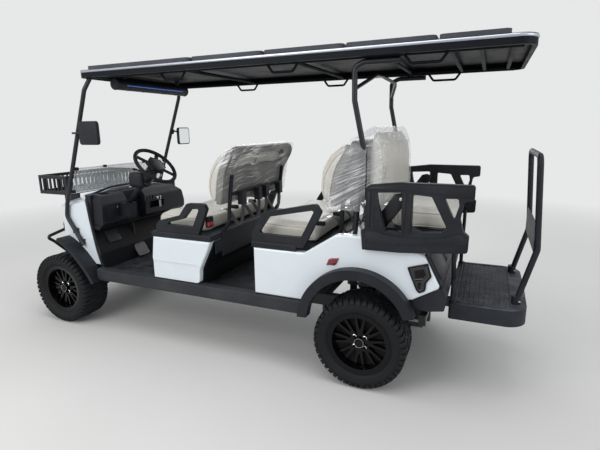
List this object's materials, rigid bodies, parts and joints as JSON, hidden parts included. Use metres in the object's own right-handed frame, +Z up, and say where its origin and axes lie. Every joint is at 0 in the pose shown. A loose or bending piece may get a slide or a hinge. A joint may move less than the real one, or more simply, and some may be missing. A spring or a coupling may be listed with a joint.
{
  "type": "six-seat golf cart",
  "caption": "White lifted electric golf cart with a long black canopy, cream benches, a rear-facing seat, footplate and grab bar, all-terrain tyres and black spoked wheels.",
  "frame": {"origin": "Middle of the bounding box on the ground under the cart.", "axes": "+X points to the cart's rear, +Y to its right side and +Z up."},
  "size_m": [3.9406, 1.43, 2.052],
  "materials": {
    "axle_iron": "black painted casting",
    "battery_case": "black battery case",
    "black_plastic": "grained black plastic",
    "black_steel": "satin black powder coat",
    "clear_lens": "clear lens",
    "clear_sheet": "clear acrylic",
    "cream_vinyl": "cream marine vinyl",
    "floor_plastic": "moulded black plastic",
    "gloss_black": "gloss black alloy",
    "grey_plastic": "dark grey plastic",
    "pedal_steel": "ribbed grey pedal",
    "roof_plastic": "black moulded sheet",
    "skirt_plastic": "charcoal grained plastic",
    "smoked_lens": "smoked lens",
    "spring_steel": "oiled spring steel",
    "tyre_rubber": "black tyre rubber",
    "white_body": "gloss white moulded panel"
  },
  "bodies": {
    "chassis": {"battery": "battery_case", "dash": "black_plastic", "fender_flares": "black_plastic", "floor_pan": "floor_plastic", "footplate": "skirt_plastic", "frame": "black_steel", "front_basket": "grey_plastic", "front_bumper": "black_steel", "front_cowl": "white_body", "front_seat_pod": "white_body", "front_struts": "black_steel", "front_suspension": "black_steel", "grab_bar": "black_steel", "head_lamps": "clear_lens", "mirrors": "black_plastic", "pedals": "pedal_steel", "rear_arm_frames": "black_plastic", "rear_axle": "axle_iron", "rear_body": "white_body", "rear_bumper": "black_plastic", "rear_lamps": "smoked_lens", "rear_seat_back": "cream_vinyl", "rear_springs": "spring_steel", "rear_struts": "black_steel", "rockers": "skirt_plastic", "roof": "roof_plastic", "roof_rails": "black_steel", "seat_backs": "cream_vinyl", "seat_belts": "black_plastic", "seat_cushions": "cream_vinyl", "seat_frames": "black_plastic", "sound_bar": "black_plastic", "steering_column": "black_plastic", "windshield": "clear_sheet"},
    "knuckle_left": {"knuckle_left": "axle_iron"},
    "knuckle_right": {"knuckle_right": "axle_iron"},
    "steering_rack": {"steering_rack": "spring_steel"},
    "steering_wheel": {"steering_wheel": "black_plastic"},
    "rear_seat": {"rear_seat_base": "black_plastic", "rear_seat_cushion": "cream_vinyl"},
    "wheel_front_left": {"tyre_front_left": "tyre_rubber", "rim_front_left": "gloss_black"},
    "wheel_front_right": {"tyre_front_right": "tyre_rubber", "rim_front_right": "gloss_black"},
    "wheel_rear_left": {"tyre_rear_left": "tyre_rubber", "rim_rear_left": "gloss_black"},
    "wheel_rear_right": {"tyre_rear_right": "tyre_rubber", "rim_rear_right": "gloss_black"}
  },
  "joints": [
    {"name": "steer_left", "type": "hinge", "parent": "chassis", "child": "knuckle_left", "pos_m": [-1.5516, -0.489, 0.292], "axis": [0, 0, 1], "range_deg": [-26, 26]},
    {"name": "spin_front_left", "type": "hinge", "parent": "knuckle_left", "child": "wheel_front_left", "pos_m": [-1.5516, -0.583, 0.292], "axis": [0, 1, 0], "continuous": true},
    {"name": "spin_rear_left", "type": "hinge", "parent": "chassis", "child": "wheel_rear_left", "pos_m": [1.0154, -0.583, 0.292], "axis": [0, 1, 0], "continuous": true},
    {"name": "steer_right", "type": "hinge", "parent": "chassis", "child": "knuckle_right", "pos_m": [-1.5516, 0.359, 0.292], "axis": [0, 0, 1], "range_deg": [-26, 26]},
    {"name": "spin_front_right", "type": "hinge", "parent": "knuckle_right", "child": "wheel_front_right", "pos_m": [-1.5516, 0.453, 0.292], "axis": [0, 1, 0], "continuous": true},
    {"name": "spin_rear_right", "type": "hinge", "parent": "chassis", "child": "wheel_rear_right", "pos_m": [1.0154, 0.453, 0.292], "axis": [0, 1, 0], "continuous": true},
    {"name": "rack_slide", "type": "slide", "parent": "chassis", "child": "steering_rack", "axis": [0, 1, 0], "range_m": [-0.0412, 0.0412]},
    {"name": "wheel_turn", "type": "hinge", "parent": "chassis", "child": "steering_wheel", "pos_m": [-0.7416, -0.345, 1.31], "axis": [0.7071, 0, 0.7071], "range_deg": [-262, 262]},
    {"name": "seat_flip", "type": "hinge", "parent": "chassis", "child": "rear_seat", "pos_m": [1.5084, -0.065, 1], "axis": [0, 1, 0], "range_deg": [0, 180]}
  ],
  "couplings": [
    {"joint": "steer_right", "follows": "steer_left", "ratio": 1},
    {"joint": "rack_slide", "follows": "steer_left", "m_per_rad": 0.09},
    {"joint": "wheel_turn", "follows": "steer_left", "ratio": 10}
  ]
}
